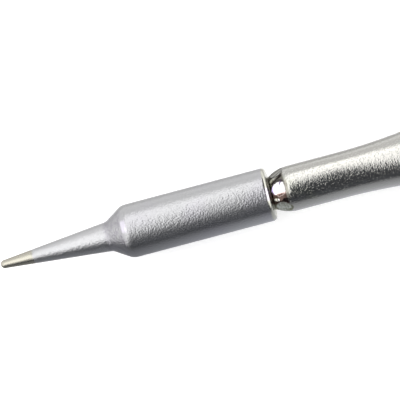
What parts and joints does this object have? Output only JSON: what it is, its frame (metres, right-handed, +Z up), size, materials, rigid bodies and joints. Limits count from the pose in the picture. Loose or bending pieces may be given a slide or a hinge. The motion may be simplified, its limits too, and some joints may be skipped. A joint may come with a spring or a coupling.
{
  "type": "soldering iron tip",
  "caption": "Cartridge soldering tip: plated conical bit over a heater, crimped on a flared metal shaft with a ring and pin contact plug.",
  "frame": {"origin": "centre of the underside of the tip's box, as it lies on its shaft", "axes": "+X along the shaft, from the working point to the plug; +Z up"},
  "size_m": [0.1016, 0.0064, 0.0064],
  "materials": {
    "plated_bit": "satin plating, tinned at the point",
    "shaft_steel": "fine grained nickel-coloured steel, polished at the crimp",
    "ceramic": "matte fired ceramic",
    "resistance_wire": "oxidised wire",
    "lead_wire": "drawn nickel wire",
    "glass_sleeving": "braided glass fibre",
    "dark_plastic": "matte moulded plastic",
    "contact_metal": "gold-coloured contact plating"
  },
  "bodies": {
    "root": {"plated_bit": "plated_bit", "shaft_tube": "shaft_steel", "heater_former": "ceramic", "heater_sleeve": "ceramic", "heater_coil": "resistance_wire", "live_wire": "lead_wire", "return_wire": "lead_wire", "live_sleeving": "glass_sleeving", "return_sleeving": "glass_sleeving", "neck_bead": "ceramic", "lead_spacer_1": "ceramic", "lead_spacer_2": "ceramic", "plug_bush": "dark_plastic", "pin_insulator": "dark_plastic", "ring_contact": "contact_metal", "contact_pin": "contact_metal"}
  },
  "joints": []
}
